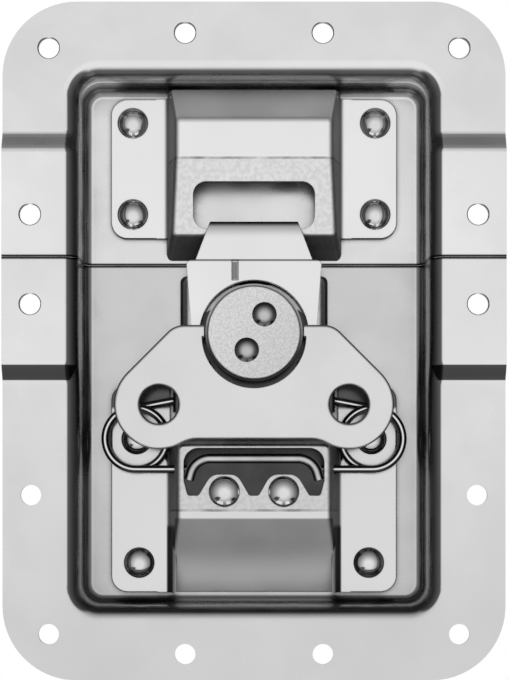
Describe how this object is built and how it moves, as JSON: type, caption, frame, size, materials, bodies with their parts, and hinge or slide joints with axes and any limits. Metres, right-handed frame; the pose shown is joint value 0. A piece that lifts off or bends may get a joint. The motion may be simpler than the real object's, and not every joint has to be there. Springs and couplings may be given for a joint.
{
  "type": "butterfly latch",
  "caption": "Recessed butterfly draw latch in a parted pressed-steel dish; a folding wing turns a hub that draws a hook in a keeper.",
  "frame": {"origin": "centre of the dish's outline, on the flange face that meets the case", "axes": "+Z out of the case towards the hand, +Y from the base half to the lid half, +X to the right of the latch as seen from the front"},
  "size_m": [0.127, 0.1714, 0.0184],
  "materials": {
    "dish_plate": "bright zinc plate, satin",
    "bracket_plate": "bright plate",
    "rivet_steel": "bright plate, polished",
    "cap_rivet_steel": "dark plate",
    "cap_matt": "fine matt texture",
    "spring_wire": "drawn spring wire",
    "saddle_steel": "plated steel",
    "wing_plate": "bright plate, satin",
    "hook_plate": "bright plate, satin",
    "inner_steel": "plated steel"
  },
  "bodies": {
    "base": {"base_dish": "dish_plate", "latch_body": "bracket_plate", "body_rivet_1": "rivet_steel", "body_rivet_2": "rivet_steel", "body_rivet_3": "rivet_steel", "body_rivet_4": "rivet_steel", "spring_saddle": "saddle_steel", "saddle_rivet_left": "rivet_steel", "saddle_rivet_right": "rivet_steel", "draw_spring": "spring_wire"},
    "lid": {"lid_dish": "dish_plate", "keeper": "bracket_plate", "keeper_rivet_1": "rivet_steel", "keeper_rivet_2": "rivet_steel", "keeper_rivet_3": "rivet_steel", "keeper_rivet_4": "rivet_steel"},
    "hub": {"hub": "inner_steel", "hub_cap": "cap_matt", "cap_rivet_1": "cap_rivet_steel", "cap_rivet_2": "cap_rivet_steel", "hub_washer": "inner_steel", "hub_ring": "inner_steel", "wing_pin_left": "inner_steel", "wing_pin_right": "inner_steel"},
    "wing": {"wing": "wing_plate"},
    "slider": {"slider": "inner_steel", "hook_pin_left": "inner_steel", "hook_pin_right": "inner_steel"},
    "hook": {"hook": "hook_plate"}
  },
  "joints": [
    {"name": "hub_turn", "type": "hinge", "parent": "base", "child": "hub", "pos_m": [0, 0.0022, 0], "axis": [0, 0, 1], "range_deg": [0, 180]},
    {"name": "wing_fold", "type": "hinge", "parent": "hub", "child": "wing", "pos_m": [0, 0.0022, -0.0013], "axis": [-1, 0, 0], "range_deg": [0, 90]},
    {"name": "hook_slide", "type": "slide", "parent": "base", "child": "slider", "axis": [0, 1, 0], "range_m": [0, 0.006], "deforming": ["draw_spring"]},
    {"name": "hook_tilt", "type": "hinge", "parent": "slider", "child": "hook", "pos_m": [0, -0.006, -0.0055], "axis": [1, 0, 0], "range_deg": [0, 3.5]},
    {"name": "lid_draw", "type": "slide", "parent": "base", "child": "lid", "axis": [0, 1, 0], "range_m": [0, 0.006]}
  ],
  "couplings": [
    {"joint": "hook_slide", "follows": "hub_turn", "m_per_rad": 0.0019},
    {"joint": "lid_draw", "follows": "hub_turn", "m_per_rad": 0.0019}
  ]
}
